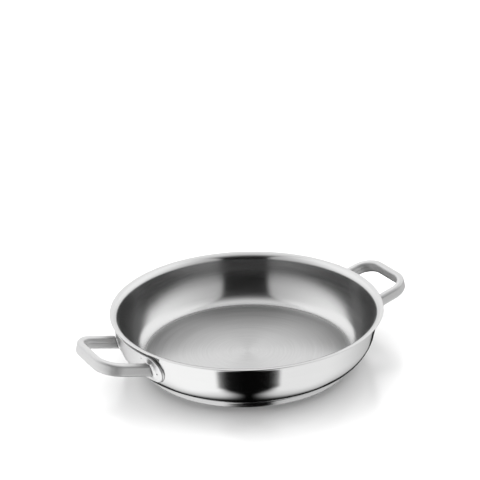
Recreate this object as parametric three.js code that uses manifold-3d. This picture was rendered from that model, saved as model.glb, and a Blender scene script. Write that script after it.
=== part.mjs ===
// Round serving pan of stainless steel with two hollow loop handles.
// Millimetres, +Z up. The origin is the middle of the underside, and the handles lie along X.

import * as THREE from 'three';
import { mergeVertices, toCreasedNormals } from 'three/addons/utils/BufferGeometryUtils.js';
import Module from 'manifold-3d';

// Drawn pan body
const RIM_RADIUS = 147; // outer edge of the pouring rim
const PAN_HEIGHT = 60; // table to the top of the rim
const BODY_SHEET = 1; // thickness of the drawn sheet
const RIM_BEND = 5.4; // radius of the rim's roll on its upper side
const RIM_DROOP = 2; // degrees that the rim's edge dips below level
const WALL_LEAN = 11.8; // degrees that the wall leans outward
const BELLY_RADIUS = 39.3; // outer radius between the wall and the foot
const FOOT_RADIUS = 21; // outer radius where the floor turns up
const FOOT_TURN = 29.5; // degrees that the foot turns before the belly takes over

// Heat-spreading base
const BASE_HEIGHT = 5; // table to the underside of the pan's floor
const BASE_OVERHANG = 6.75; // base beyond the flat part of the floor
const CAP_SHEET = 0.6; // thickness of the cap's sheet
const CAP_INNER_CORNER = 0.6; // radius inside the cap's bottom corner

// Hollow loop handle, measured along its own tilted plane
const HANDLE_TILT = 15.4; // degrees that the loop rises outward
const ARM_SPACING = 74; // between the centrelines of the two arms
const HANDLE_REACH = 55.6; // wall to the centreline of the cross bar
const HANDLE_BEND = 20.6; // centreline radius of the loop's corners
const GRIP_WIDTH = 7.9; // section across the loop's plane
const GRIP_HEIGHT = 13.5; // section at right angles to the loop's plane
const GRIP_ROUND = 3.1; // radius along the section's edges
const GRIP_SHEET = 1; // thickness of the half shells

// Bracket plate that carries the handle
const RIM_CLEARANCE = 1.5; // rim's roll down to the plate's upper edge
const PLATE_MARGIN = 8.5; // plate above and below the arms' section
const PLATE_REACH = 15.8; // plate beyond each arm's centreline
const ARM_DROP = 0.95; // arms' centreline below the plate's middle
const PLATE_SHEET = 2.4; // thickness of the plate
const PLATE_EDGE = 1; // bevel along the plate's outer edge
const COLLAR_FLARE = 4.2; // width of the collar's fillet on the plate
const COLLAR_NECK = 1.9; // height of the collar above the plate

// Clearance that every welded or brazed seam keeps
const SEAM_GAP = 0.3;

// Fineness of the facets
const ROUND_STEPS = 72; // round the pan
const FOOT_STEPS = 3; // along the foot's arc
const BELLY_STEPS = 5; // along the belly's arc
const RIM_STEPS = 6; // along the rim's roll
const BEND_STEPS = 8; // round each corner of the loop
const CORNER_STEPS = 3; // round each corner of a section
const END_STEPS = 12; // round each end of the plate
const EDGE_STEPS = 12; // along each straight edge of the plate
const FILLET_STEPS = 4; // along the collar's fillet
const PLATE_RINGS = 4; // from the plate's middle line to its edge
const CREASE = 30; // degrees between faces that still shade as one surface

const wasm = await Module();
wasm.setup();

const radians = THREE.MathUtils.degToRad;

// Points of an arc about (x, y), from one angle to another, both in radians.
function arc(x, y, radius, from, to, steps) {
  const points = [];
  for (let i = 0; i <= steps; i += 1) {
    const angle = THREE.MathUtils.lerp(from, to, i / steps);
    points.push(new THREE.Vector2(x + radius * Math.cos(angle), y + radius * Math.sin(angle)));
  }
  return points;
}

// Turns a profile of (radius, height) points about the Z axis.
function revolve(profile) {
  const geometry = new THREE.LatheGeometry(profile, ROUND_STEPS);
  geometry.rotateX(Math.PI / 2);
  return geometry;
}

// Keeps only the positions, welds equal points and drops the faces that closed up.
function weld(geometry) {
  geometry.deleteAttribute('normal');
  geometry.deleteAttribute('uv');
  const welded = mergeVertices(geometry, 1e-4);
  const corners = [];
  for (let i = 0; i < welded.index.count; i += 3) {
    const [a, b, c] = [0, 1, 2].map((k) => welded.index.getX(i + k));
    if (a !== b && b !== c && c !== a) corners.push(a, b, c);
  }
  welded.setIndex(corners);
  return welded;
}

function toSolid(geometry) {
  const welded = weld(geometry);
  const vertProperties = Float32Array.from(welded.attributes.position.array);
  const triVerts = Uint32Array.from(welded.index.array);
  return new wasm.Manifold(new wasm.Mesh({ numProp: 3, vertProperties, triVerts }));
}

function toGeometry(solid) {
  const mesh = solid.getMesh();
  const geometry = new THREE.BufferGeometry();
  geometry.setAttribute('position', new THREE.BufferAttribute(mesh.vertProperties, 3));
  geometry.setIndex(new THREE.BufferAttribute(mesh.triVerts, 1));
  return geometry;
}

// Skins a row of closed rings of equal length, and closes both ends with the given triangles.
function loft(rings, endFaces) {
  const count = rings[0].length;
  const positions = rings.flat().flatMap((p) => [p.x, p.y, p.z]);
  const index = [];
  for (let k = 0; k < rings.length - 1; k += 1) {
    for (let j = 0; j < count; j += 1) {
      const a = k * count + j;
      const b = k * count + ((j + 1) % count);
      index.push(a, b, b + count, a, b + count, a + count);
    }
  }
  const last = (rings.length - 1) * count;
  for (const [a, b, c] of endFaces) {
    index.push(c, b, a, last + a, last + b, last + c);
  }
  const geometry = new THREE.BufferGeometry();
  geometry.setAttribute('position', new THREE.Float32BufferAttribute(positions, 3));
  geometry.setIndex(index);
  return geometry;
}

function closeSection(section) {
  return THREE.ShapeUtils.triangulateShape(section, []);
}

// Profile of the pan body, worked down from the rim: roll, leaning wall, belly, foot and floor.
const lean = radians(WALL_LEAN);
const droop = radians(RIM_DROOP);
const turn = radians(FOOT_TURN);
const rimUnderRadius = RIM_BEND - BODY_SHEET;
const rimEdgeRadius = RIM_BEND - BODY_SHEET / 2;
const rimX = RIM_RADIUS - rimEdgeRadius * Math.sin(droop) - BODY_SHEET / 2;
const rimY = PAN_HEIGHT - RIM_BEND;
const wallTopX = rimX - rimUnderRadius * Math.cos(lean);
const wallTopY = rimY + rimUnderRadius * Math.sin(lean);
const footY = BASE_HEIGHT + FOOT_RADIUS;
const bellyY = footY + (BELLY_RADIUS - FOOT_RADIUS) * Math.cos(turn);
const bellyTopY = bellyY - BELLY_RADIUS * Math.sin(lean);
const bellyTopX = wallTopX - (wallTopY - bellyTopY) * Math.tan(lean);
const bellyX = bellyTopX - BELLY_RADIUS * Math.cos(lean);
const floorRadius = bellyX + (BELLY_RADIUS - FOOT_RADIUS) * Math.sin(turn);

// One skin of the body from the floor to the rim, moved inward by the given thickness.
function bodySkin(inward) {
  const down = -Math.PI / 2;
  return [
    ...arc(floorRadius, footY, FOOT_RADIUS - inward, down, down + turn, FOOT_STEPS),
    ...arc(bellyX, bellyY, BELLY_RADIUS - inward, down + turn, -lean, BELLY_STEPS).slice(1),
    ...arc(rimX, rimY, rimUnderRadius + inward, Math.PI - lean, Math.PI / 2 - droop, RIM_STEPS),
  ];
}

// Radius of the outer wall at a height below the rim's roll, moved outward by the given distance.
function wallRadius(height, outward) {
  const foot = FOOT_RADIUS + outward;
  const belly = BELLY_RADIUS + outward;
  const bellyTop = bellyY - belly * Math.sin(lean);
  const footTop = footY - foot * Math.cos(turn);
  if (height > bellyTop) return bellyX + belly * Math.cos(lean) + (height - bellyTop) * Math.tan(lean);
  if (height > footTop) return bellyX + Math.sqrt(belly ** 2 - (bellyY - height) ** 2);
  return floorRadius + Math.sqrt(foot ** 2 - (footY - height) ** 2);
}

// Height of the body's underside at a radius past the flat of the floor.
function undersideHeight(radius) {
  const past = radius - floorRadius;
  if (past < FOOT_RADIUS * Math.sin(turn)) return footY - Math.sqrt(FOOT_RADIUS ** 2 - past ** 2);
  return bellyY - Math.sqrt(BELLY_RADIUS ** 2 - (radius - bellyX) ** 2);
}

function panBody() {
  const outerSkin = bodySkin(0);
  const innerSkin = bodySkin(BODY_SHEET);
  const edge = new THREE.Vector2().lerpVectors(outerSkin.at(-1), innerSkin.at(-1), 1 / 2);
  const edgeRound = arc(edge.x, edge.y, BODY_SHEET / 2, -Math.PI / 2 - droop, Math.PI / 2 - droop, CORNER_STEPS);
  const underside = new THREE.Vector2(0, BASE_HEIGHT);
  const floor = new THREE.Vector2(0, BASE_HEIGHT + BODY_SHEET);
  return revolve([underside, ...outerSkin, ...edgeRound.slice(1, -1), ...innerSkin.toReversed(), floor]);
}

// Base: a cup of sheet that holds the core tight under the floor, its edge tucked under the foot.
const baseRadius = floorRadius + BASE_OVERHANG;
const capInside = baseRadius - CAP_SHEET;
const capCorner = CAP_INNER_CORNER + CAP_SHEET;

function baseCap() {
  const top = undersideHeight(capInside) - SEAM_GAP;
  const cornerX = baseRadius - capCorner;
  const outerCorner = arc(cornerX, capCorner, capCorner, -Math.PI / 2, 0, CORNER_STEPS);
  const innerCorner = arc(cornerX, capCorner, CAP_INNER_CORNER, 0, -Math.PI / 2, CORNER_STEPS);
  const rim = [new THREE.Vector2(baseRadius, top), new THREE.Vector2(capInside, top)];
  return revolve([new THREE.Vector2(0, 0), ...outerCorner, ...rim, ...innerCorner, new THREE.Vector2(0, CAP_SHEET)]);
}

function baseCore() {
  const radius = capInside - SEAM_GAP;
  return revolve([
    new THREE.Vector2(0, CAP_SHEET),
    new THREE.Vector2(baseRadius - capCorner, CAP_SHEET),
    new THREE.Vector2(radius, capCorner),
    new THREE.Vector2(radius, BASE_HEIGHT),
    new THREE.Vector2(0, BASE_HEIGHT),
  ]);
}

// The plate's upper edge lies under the rim's roll, and the arms meet the plate near its middle.
const plateHeight = GRIP_HEIGHT + 2 * PLATE_MARGIN;
const plateMiddle = wallTopY - RIM_CLEARANCE - plateHeight / 2;
const plateFace = SEAM_GAP + PLATE_SHEET;
const collarTop = plateFace + COLLAR_NECK;

// Frame of one handle: u runs outward along the tilted loop, v across the arms, w up from the loop.
const tilt = radians(HANDLE_TILT);
const armSide = ARM_SPACING / 2;
const armHeight = plateMiddle - ARM_DROP;
const seatX = Math.sqrt(wallRadius(armHeight, 0) ** 2 - armSide ** 2);

function onHandle(u, v, w) {
  const x = seatX + u * Math.cos(tilt) - w * Math.sin(tilt);
  const z = armHeight + u * Math.sin(tilt) + w * Math.cos(tilt);
  return new THREE.Vector3(x, v, z);
}

// Point on the line through (v, w) along u that stands the given distance off the wall.
function meetWall(v, w, distance) {
  let near = -HANDLE_REACH / 2;
  let far = HANDLE_REACH / 2;
  while (far - near > 1e-6) {
    const middle = (near + far) / 2;
    const point = onHandle(middle, v, w);
    if (Math.hypot(point.x, point.y) < wallRadius(point.z, distance)) near = middle;
    else far = middle;
  }
  return onHandle(near, v, w);
}

// Outline of the tubular section, grown outward by the given amount.
function gripSection(grow) {
  const radius = Math.max(GRIP_ROUND + grow, GRIP_ROUND / 4);
  const x = GRIP_WIDTH / 2 + grow - radius;
  const y = GRIP_HEIGHT / 2 + grow - radius;
  const quarter = Math.PI / 2;
  return [[x, y], [-x, y], [-x, -y], [x, -y]].flatMap(([cx, cy], i) => (
    arc(cx, cy, radius, i * quarter, (i + 1) * quarter, CORNER_STEPS)
  ));
}

// Channel section of the upper half shell: outer skin one way round, inner skin back.
function shellSection() {
  const half = (outline) => outline.slice(0, outline.length / 2);
  const seam = SEAM_GAP / 2;
  const x = GRIP_WIDTH / 2;
  const outer = [new THREE.Vector2(x, seam), ...half(gripSection(0)), new THREE.Vector2(-x, seam)];
  const inside = x - GRIP_SHEET;
  const skin = half(gripSection(-GRIP_SHEET)).reverse();
  const inner = [new THREE.Vector2(-inside, seam), ...skin, new THREE.Vector2(inside, seam)];
  return [...outer, ...inner];
}

// Ring of the loop: the section carried to (u, v), turned so that its width points along the given angle.
function loopRing(section, u, v, angle) {
  return section.map((p) => onHandle(u + p.x * Math.cos(angle), v + p.x * Math.sin(angle), p.y));
}

// Half shell of the loop: out along one arm, round two corners and back along the other arm.
// Both ends are cut to the curve of the wall, a seam's gap off the collars.
function handleShell(side) {
  const section = shellSection().map((p) => new THREE.Vector2(p.x, side * p.y));
  if (side < 0) section.reverse();
  const end = (arm) => section.map((p) => meetWall(arm * (armSide + p.x), p.y, collarTop + SEAM_GAP));
  const cornerU = HANDLE_REACH - HANDLE_BEND;
  const cornerV = armSide - HANDLE_BEND;
  const bends = [1, -1].flatMap((arm) => {
    const rings = arc(0, 0, 1, 0, Math.PI / 2, BEND_STEPS).map((p) => {
      const angle = Math.atan2(arm * p.x, p.y);
      const u = cornerU + HANDLE_BEND * p.y;
      const v = arm * (cornerV + HANDLE_BEND * p.x);
      return loopRing(section, u, v, angle);
    });
    return arm > 0 ? rings : rings.reverse();
  });
  return loft([end(1), ...bends, end(-1)], closeSection(section));
}

// Bracket plate: a bevelled profile carried round an outline with straight edges and round ends,
// laid on the curve of the wall.
const plateRound = plateHeight / 2;
const plateStraight = armSide + PLATE_REACH - plateRound;

function onPlate(y, z, distance) {
  return new THREE.Vector3(Math.sqrt(wallRadius(z, distance) ** 2 - y ** 2), y, z);
}

// Each place on the outline is a point of the plate's middle line and a direction out from it.
function plateOutline() {
  const places = [];
  for (const end of [1, -1]) {
    for (let i = 0; i < EDGE_STEPS; i += 1) {
      const y = end * plateStraight * (2 * i / EDGE_STEPS - 1);
      places.push({ y, out: new THREE.Vector2(0, end) });
    }
    for (let i = 0; i < END_STEPS; i += 1) {
      const angle = Math.PI * i / END_STEPS;
      const out = new THREE.Vector2(Math.sin(angle), Math.cos(angle)).multiplyScalar(end);
      places.push({ y: end * plateStraight, out });
    }
  }
  return places;
}

function bracketPlate() {
  const profile = [[plateRound, plateFace - PLATE_EDGE]];
  for (let i = 0; i <= PLATE_RINGS; i += 1) {
    const share = 1 - i / PLATE_RINGS;
    profile.unshift([(plateRound - PLATE_EDGE) * share, plateFace]);
    profile.push([plateRound * share, SEAM_GAP]);
  }
  const outline = plateOutline();
  const rings = profile.map(([reach, distance]) => outline.map(({ y, out }) => (
    onPlate(y + reach * out.x, plateMiddle + reach * out.y, distance)
  )));
  return loft(rings, []);
}

// Collar drawn up from the plate: its fillet sweeps from the plate's face into the arm's section.
function collarRing(arm, grow, distance) {
  return gripSection(grow).map((p) => meetWall(arm * armSide + p.x, p.y, distance));
}

function collar(arm) {
  const root = collarRing(arm, COLLAR_FLARE, SEAM_GAP + PLATE_SHEET / 2);
  const fillet = arc(0, 0, 1, 0, Math.PI / 2, FILLET_STEPS).slice(1).map((p) => (
    collarRing(arm, COLLAR_FLARE * (1 - p.y), plateFace + COLLAR_NECK * (1 - p.x))
  ));
  return loft([root, ...fillet], closeSection(gripSection(0)));
}

// Bore of a collar, open to the hollow arm in front and to the wall behind.
function collarBore(arm) {
  const behind = collarRing(arm, -GRIP_SHEET, -PLATE_SHEET);
  const inFront = collarRing(arm, -GRIP_SHEET, collarTop + PLATE_SHEET);
  return loft([behind, inFront], closeSection(gripSection(-GRIP_SHEET)));
}

function handleBracket() {
  let bracket = toSolid(bracketPlate());
  for (const arm of [1, -1]) bracket = bracket.add(toSolid(collar(arm)));
  for (const arm of [1, -1]) bracket = bracket.subtract(toSolid(collarBore(arm)));
  return toGeometry(bracket);
}

const drawnSteel = new THREE.MeshStandardMaterial({ color: 0xc9c9c8, roughness: 0.22, metalness: 1 });
const capSteel = new THREE.MeshStandardMaterial({ color: 0xc4c4c3, roughness: 0.3, metalness: 1 });
const coreAluminium = new THREE.MeshStandardMaterial({ color: 0xd5d6d8, roughness: 0.45, metalness: 1 });
const polishedSteel = new THREE.MeshStandardMaterial({ color: 0xd2d2d1, roughness: 0.1, metalness: 1 });
const satinSteel = new THREE.MeshStandardMaterial({ color: 0xbfbfbe, roughness: 0.35, metalness: 1 });

function piece(name, geometry, material) {
  const mesh = new THREE.Mesh(toCreasedNormals(weld(geometry), radians(CREASE)), material);
  mesh.name = name;
  return mesh;
}

const pan = new THREE.Group();
pan.add(piece('pan_body', panBody(), drawnSteel));
pan.add(piece('base_core', baseCore(), coreAluminium));
pan.add(piece('base_cap', baseCap(), capSteel));

for (const [side, heading] of [['right', 0], ['left', Math.PI]]) {
  const handle = new THREE.Group();
  handle.rotation.z = heading;
  handle.add(piece(`${side}_handle_bracket`, handleBracket(), polishedSteel));
  handle.add(piece(`${side}_handle_upper_shell`, handleShell(1), satinSteel));
  handle.add(piece(`${side}_handle_lower_shell`, handleShell(-1), satinSteel));
  pan.add(handle);
}

export default pan;
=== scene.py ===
"""Round stainless steel serving pan with two hollow loop handles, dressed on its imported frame.

Lengths in this file are millimetres in the part's own frame; the meshes are written in metres.
"""
import math

import bmesh
import bpy
import numpy as np
from mathutils import Matrix


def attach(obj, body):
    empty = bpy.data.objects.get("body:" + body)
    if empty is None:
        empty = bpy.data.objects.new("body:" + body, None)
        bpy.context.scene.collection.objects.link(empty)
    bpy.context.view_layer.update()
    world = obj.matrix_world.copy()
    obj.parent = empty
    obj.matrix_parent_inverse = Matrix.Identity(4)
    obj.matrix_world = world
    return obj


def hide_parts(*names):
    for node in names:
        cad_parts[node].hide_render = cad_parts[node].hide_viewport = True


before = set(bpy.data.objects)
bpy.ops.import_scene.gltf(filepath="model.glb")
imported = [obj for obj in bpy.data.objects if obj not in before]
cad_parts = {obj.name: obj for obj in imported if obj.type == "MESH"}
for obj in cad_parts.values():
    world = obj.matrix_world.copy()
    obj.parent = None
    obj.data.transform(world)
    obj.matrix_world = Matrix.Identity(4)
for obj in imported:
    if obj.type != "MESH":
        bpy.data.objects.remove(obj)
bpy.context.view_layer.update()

MM = 0.001
DECIMETRE = 100.0
METRE = 1000.0
QUARTER = math.pi / 2

# Drawn pan body
RIM_RADIUS = 147.0
PAN_HEIGHT = 60.0
BODY_SHEET = 1.0
RIM_BEND = 5.4
RIM_DROOP = math.radians(2.0)
WALL_LEAN = math.radians(11.8)
BELLY_RADIUS = 39.3
FOOT_RADIUS = 21.0
FOOT_TURN = math.radians(29.5)

# Softer inner skin of the body
INNER_LEAN = math.radians(10.0)
INNER_FOOT_TURN = math.radians(55.0)
INNER_ROLL = 7.5
INNER_ROLL_END = math.radians(-8.0)

# Heat-spreading base
BASE_HEIGHT = 5.0
BASE_OVERHANG = 6.75
CAP_SHEET = 0.6
CAP_CORNER = 1.2
CAP_LIP = 0.35
CAP_EDGE_START = 0.2

# Two shallow grooves turned in the base, as radii and as steps out from a groove's start with their depths
INNER_GROOVE = 23.6
INNER_GROOVE_END = 25.2
OUTER_GROOVE = 97.6
OUTER_GROOVE_END = 99.4
GROOVE_DEPTH = 0.25
GROOVE_SHAPE = np.array([[0.4, GROOVE_DEPTH], [0.7, GROOVE_DEPTH], [1.1, 0.0]])

# Loop handle
HANDLE_TILT = math.radians(15.4)
ARM_SIDE = 37.0
HANDLE_REACH = 55.6
HANDLE_BEND = 20.6
GRIP_WIDTH = 7.9
GRIP_HEIGHT = 13.5
GRIP_ROUND = 3.1
GRIP_SHEET = 1.0
GRIP_SEAM = 0.05
GROUND_SEAM = 0.01
SEAM_EDGE = 0.25
SEAM_TAIL = 0.8
FLANK_HEIGHTS = np.array([1.2, 2.4])
GRIP_END_GAP = 0.06

# Bracket plate
RIM_CLEARANCE = 1.5
PLATE_HEIGHT = 30.5
PLATE_REACH = 15.8
PLATE_SHEET = 2.4
PLATE_EDGE = 1.0
ARM_DROP = 0.95
COLLAR_FLARE = 4.2
COLLAR_NECK = 1.9
COLLAR_LAND_INSET = 0.12
FILLET_START = math.radians(84)
LEAST_ROUND = GRIP_ROUND / 4
BORE_CHAMFER = 0.15
BORE_CHAMFER_DEPTH = 0.3
PLATE_BACK_EDGE = 0.1
PLATE_BACK_SHARES = (0.0, 0.35, 0.7)
SEAM_GAP = 0.3

# Spot welds on a bracket plate: places across and up the wall, depth and size of the dimple
WELD_MARKS = ((45.4, 36.0), (26.0, 48.2))
WELD_DEPTH = 0.8
WELD_SIZE = 0.9

# Fineness of the meshes
ROUND_STEPS = 288
FLOOR_STEPS = 24
UNDERSIDE_STEPS = 10
FOOT_STEPS = 10
BELLY_STEPS = 22
WALL_STEPS = 10
ROLL_STEPS = 26
RIM_EDGE_STEPS = 10
CAP_FLAT_STEPS = 4
CAP_CORNER_STEPS = 10
CAP_LIP_STEPS = 5
GRIP_CORNER_STEPS = 8
GRIP_FLAT_STEPS = 3
SEAM_EDGE_STEPS = 4
BEND_STEPS = 24
ARM_STEPS = 14
BORE_CORNER_STEPS = 40
PLATE_MIDDLE_STEPS = 36
PLATE_SIDE_STEPS = 48
PLATE_BOW_STEPS = 72
FILLET_STEPS = 13
PLATE_FACE_STEPS = 40
PLATE_EDGE_STEPS = 6
WALL_HALVINGS = 40
SHARP_EDGE = math.radians(50)
JOIN_DISTANCE = 1e-6


def arc(x, y, radius, start, end, steps):
    """Points of a circle about (x, y): centre plus radius times (cosine, sine) of evenly spread angles."""
    angle = np.linspace(start, end, steps + 1)
    return np.stack([x + radius * np.cos(angle), y + radius * np.sin(angle)], axis=1)


def line(start, end, steps):
    """Evenly spread points on a straight line, without its last point."""
    share = np.arange(steps)[:, None] / steps
    return np.asarray(start) * (1 - share) + np.asarray(end) * share


# Centres of the body's arcs, worked down from the rim
RIM_X = RIM_RADIUS - (RIM_BEND - BODY_SHEET / 2) * math.sin(RIM_DROOP) - BODY_SHEET / 2
RIM_Y = PAN_HEIGHT - RIM_BEND
WALL_TOP_X = RIM_X - (RIM_BEND - BODY_SHEET) * math.cos(WALL_LEAN)
WALL_TOP_Y = RIM_Y + (RIM_BEND - BODY_SHEET) * math.sin(WALL_LEAN)
FOOT_Y = BASE_HEIGHT + FOOT_RADIUS
BELLY_Y = FOOT_Y + (BELLY_RADIUS - FOOT_RADIUS) * math.cos(FOOT_TURN)
BELLY_TOP_Y = BELLY_Y - BELLY_RADIUS * math.sin(WALL_LEAN)
BELLY_TOP_X = WALL_TOP_X - (WALL_TOP_Y - BELLY_TOP_Y) * math.tan(WALL_LEAN)
BELLY_X = BELLY_TOP_X - BELLY_RADIUS * math.cos(WALL_LEAN)
FLOOR_RADIUS = BELLY_X + (BELLY_RADIUS - FOOT_RADIUS) * math.sin(FOOT_TURN)
BASE_RADIUS = FLOOR_RADIUS + BASE_OVERHANG


def body_skin(roll, lean, turn, foot_radius):
    """One skin of the body from the floor's edge to the rim's: foot arc, belly arc, leaning line, rim roll.

    The foot arc rises through the given turn, the line leaves the rim's roll at the given lean, and the
    belly arc between them has the one radius that touches both.
    """
    reach = (roll[0, 0] - FLOOR_RADIUS) * math.cos(lean) - (roll[0, 1] - FOOT_Y) * math.sin(lean)
    slant = math.sin(turn + lean)
    belly_radius = (reach - foot_radius * slant) / (1 - slant)
    belly_x = FLOOR_RADIUS - (belly_radius - foot_radius) * math.sin(turn)
    belly_y = FOOT_Y + (belly_radius - foot_radius) * math.cos(turn)
    foot = arc(FLOOR_RADIUS, FOOT_Y, foot_radius, -QUARTER, turn - QUARTER, FOOT_STEPS)
    belly = arc(belly_x, belly_y, belly_radius, turn - QUARTER, -lean, BELLY_STEPS)
    wall = line(belly[-1], roll[0], WALL_STEPS)
    return np.concatenate([foot, belly[1:-1], wall, roll])


def pan_profile():
    """Outline of the sheet: underside outward, up the outer skin, round the edge, back inside."""
    under_bend = RIM_BEND - BODY_SHEET
    under_roll = arc(RIM_X, RIM_Y, under_bend, math.pi - WALL_LEAN, QUARTER - RIM_DROOP, ROLL_STEPS)
    edge_x = RIM_RADIUS - BODY_SHEET / 2
    roll_x = edge_x + INNER_ROLL * math.sin(INNER_ROLL_END)
    roll_y = PAN_HEIGHT - INNER_ROLL
    roll_end = QUARTER + INNER_ROLL_END
    over_roll = arc(roll_x, roll_y, INNER_ROLL, math.pi - INNER_LEAN, roll_end, ROLL_STEPS)
    outer = body_skin(under_roll, WALL_LEAN, FOOT_TURN, FOOT_RADIUS)
    inner = body_skin(over_roll, INNER_LEAN, INNER_FOOT_TURN, FOOT_RADIUS - BODY_SHEET)
    edge = (outer[-1] + inner[-1]) / 2
    round_radius = np.linalg.norm(outer[-1] - inner[-1]) / 2
    rounding = arc(edge[0], edge[1], round_radius, -QUARTER, QUARTER, RIM_EDGE_STEPS)
    underside = line((0.0, BASE_HEIGHT), outer[0], UNDERSIDE_STEPS)
    floor = line((0.0, BASE_HEIGHT + BODY_SHEET), inner[0], FLOOR_STEPS)
    return np.concatenate([underside, outer, rounding[1:-1], inner[::-1], floor[::-1]])


def wall_radius(height, outward):
    """Radius of the outer wall at a height, moved outward along its normal: foot, belly or leaning line."""
    foot = FOOT_RADIUS + outward
    belly = BELLY_RADIUS + outward
    belly_top = BELLY_Y - belly * math.sin(WALL_LEAN)
    foot_top = FOOT_Y - foot * math.cos(FOOT_TURN)
    on_line = BELLY_X + belly * math.cos(WALL_LEAN) + (height - belly_top) * math.tan(WALL_LEAN)
    on_belly = BELLY_X + np.sqrt(np.maximum(belly**2 - (BELLY_Y - height) ** 2, 0.0))
    on_foot = FLOOR_RADIUS + np.sqrt(np.maximum(foot**2 - (FOOT_Y - height) ** 2, 0.0))
    return np.where(height > belly_top, on_line, np.where(height > foot_top, on_belly, on_foot))


def underside_height(radius):
    """Height of the body's underside at a radius on the foot's arc."""
    return FOOT_Y - math.sqrt(FOOT_RADIUS**2 - (radius - FLOOR_RADIUS) ** 2)


def flat_to_groove(start, groove, steps):
    """Level underside from a radius out to a groove, then the groove's own points."""
    edge = np.array([[groove, 0.0]])
    return np.concatenate([line((start, 0.0), edge[0], steps), edge, edge + GROOVE_SHAPE])


def cup_profile():
    """Outline of the base's cup: turned underside with two shallow grooves, rounded corner, edge, inside."""
    inside = BASE_RADIUS - CAP_SHEET
    top = underside_height(inside) - SEAM_GAP
    lip_y = top - CAP_LIP
    corner_x = BASE_RADIUS - CAP_CORNER
    return np.concatenate([
        flat_to_groove(0.0, INNER_GROOVE, CAP_FLAT_STEPS),
        flat_to_groove(INNER_GROOVE_END, OUTER_GROOVE, 2 * CAP_FLAT_STEPS),
        line((OUTER_GROOVE_END, 0.0), (corner_x, 0.0), CAP_FLAT_STEPS),
        arc(corner_x, CAP_CORNER, CAP_CORNER, -QUARTER, 0.0, CAP_CORNER_STEPS),
        line((BASE_RADIUS, CAP_CORNER + CAP_EDGE_START), (BASE_RADIUS, lip_y), CAP_LIP_STEPS),
        arc(BASE_RADIUS - CAP_LIP, lip_y, CAP_LIP, 0.0, QUARTER, CAP_LIP_STEPS),
        [[inside, top], [inside, CAP_CORNER]],
        arc(corner_x, CAP_CORNER, CAP_CORNER - CAP_SHEET, 0.0, -QUARTER, CAP_LIP_STEPS)[1:],
        [[0.0, CAP_SHEET]],
    ])


def lay_mesh(name, points, corners, uv):
    """Makes an object at the origin from points in millimetres, faces and a UV place for each corner.

    corners and uv are lists of arrays, each of faces with the same number of corners, three or four.
    """
    mesh = bpy.data.meshes.new(name)
    order = np.concatenate([c.ravel() for c in corners]).astype(np.int32)
    sizes = np.concatenate([np.full(len(c), c.shape[1]) for c in corners])
    starts = np.concatenate([[0], np.cumsum(sizes)[:-1]]).astype(np.int32)
    mesh.vertices.add(len(points))
    mesh.vertices.foreach_set("co", (points * MM).astype(np.float32).ravel())
    mesh.loops.add(len(order))
    mesh.loops.foreach_set("vertex_index", order)
    mesh.polygons.add(len(starts))
    mesh.polygons.foreach_set("loop_start", starts)
    layer = mesh.uv_layers.new(name="finish")
    places = np.concatenate([u.reshape(-1, 2) for u in uv])
    layer.data.foreach_set("uv", places.astype(np.float32).ravel())
    mesh.polygons.foreach_set("use_smooth", np.ones(len(starts), bool))
    mesh.update(calc_edges=True)
    mesh.validate()
    mesh.set_sharp_from_angle(angle=SHARP_EDGE)
    piece = bpy.data.objects.new(name, mesh)
    bpy.context.scene.collection.objects.link(piece)
    return piece


def cells(index, place):
    """Four-cornered faces of a grid of point numbers, and each corner's UV from the grid's own places."""
    quads = np.stack([index[:-1, :-1], index[:-1, 1:], index[1:, 1:], index[1:, :-1]], axis=-1)
    uv = np.stack([place[:-1, :-1], place[:-1, 1:], place[1:, 1:], place[1:, :-1]], axis=-2)
    return quads.reshape(-1, 4), uv.reshape(-1, 4, 2)


def run_length(points):
    """Distance run along a row of points, from its first."""
    steps = np.linalg.norm(np.diff(points, axis=0), axis=1)
    return np.concatenate([[0.0], np.cumsum(steps)])


def turned_piece(name, profile):
    """Profile turned about Z: (radius cos a, radius sin a, height), with one point at each pole.

    U is the share of a full turn and V the run along the profile in decimetres.
    """
    ring = profile[1:-1]
    angle = np.linspace(0.0, 2 * math.pi, ROUND_STEPS, endpoint=False)
    radius, height = ring[:, :1], ring[:, 1:]
    x, y = radius * np.cos(angle), radius * np.sin(angle)
    around = np.stack(np.broadcast_arrays(x, y, height), axis=-1)
    poles = np.array([[0.0, 0.0, profile[0, 1]], [0.0, 0.0, profile[-1, 1]]])
    points = np.concatenate([around.reshape(-1, 3), poles])
    index = np.arange(len(ring) * ROUND_STEPS).reshape(len(ring), ROUND_STEPS)
    index = np.concatenate([index, index[:, :1]], axis=1)
    share = np.arange(ROUND_STEPS + 1) / ROUND_STEPS
    run = run_length(profile) / DECIMETRE
    place = np.stack(np.broadcast_arrays(share[None, :], run[1:-1, None]), axis=-1)
    quads, quad_uv = cells(index, place)
    middle = (share[:-1] + share[1:]) / 2
    first = np.full(ROUND_STEPS, len(points) - 2)
    last = np.full(ROUND_STEPS, len(points) - 1)
    foot = np.stack([first, index[0, 1:], index[0, :-1]], axis=1)
    crown = np.stack([last, index[-1, :-1], index[-1, 1:]], axis=1)

    def fan_uv(tip_run, run_at, left, right):
        """Map places of a fan's faces: the tip at the pole, then the two corners on the ring."""
        tip = np.stack([middle, np.full(ROUND_STEPS, tip_run)], axis=1)
        a = np.stack([left, np.full(ROUND_STEPS, run_at)], axis=1)
        b = np.stack([right, np.full(ROUND_STEPS, run_at)], axis=1)
        return np.stack([tip, a, b], axis=1)

    foot_uv = fan_uv(run[0], run[1], share[1:], share[:-1])
    crown_uv = fan_uv(run[-1], run[-2], share[:-1], share[1:])
    return lay_mesh(name, points, [quads, foot, crown], [quad_uv, foot_uv, crown_uv])


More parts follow.
